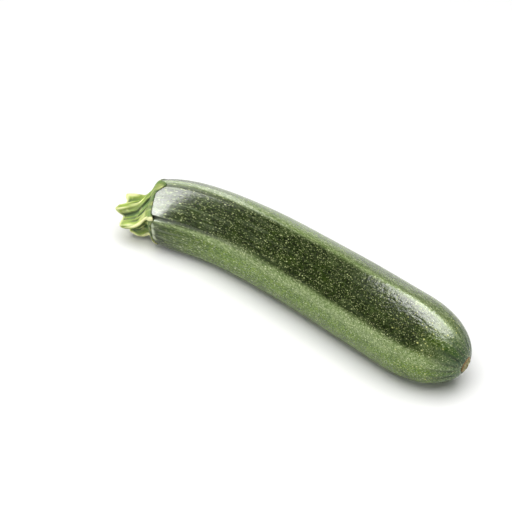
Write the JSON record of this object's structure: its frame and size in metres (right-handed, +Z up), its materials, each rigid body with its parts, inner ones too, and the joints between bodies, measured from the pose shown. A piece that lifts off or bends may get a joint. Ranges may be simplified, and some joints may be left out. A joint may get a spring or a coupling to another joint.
{
  "type": "courgette",
  "caption": "Whole fresh courgette with a bent neck, soft ridges, a ribbed cut stem stub and a blossom scar, lying on its side.",
  "frame": {"origin": "under the middle of the bounding box, on the surface that the courgette lies on", "axes": "+X along the fruit from the stem to the blossom end, +Z up, and the neck bends towards -Y"},
  "size_m": [0.2148, 0.055, 0.0417],
  "materials": {
    "skin": "waxy dark green skin with paler bands and fine pale speckles",
    "stem": "yellow-green, ribbed, slightly hairy",
    "cork": "dry tan-brown cork"
  },
  "bodies": {
    "root": {"fruit": "skin", "stem_stub": "stem", "blossom_scar": "cork"}
  },
  "joints": []
}
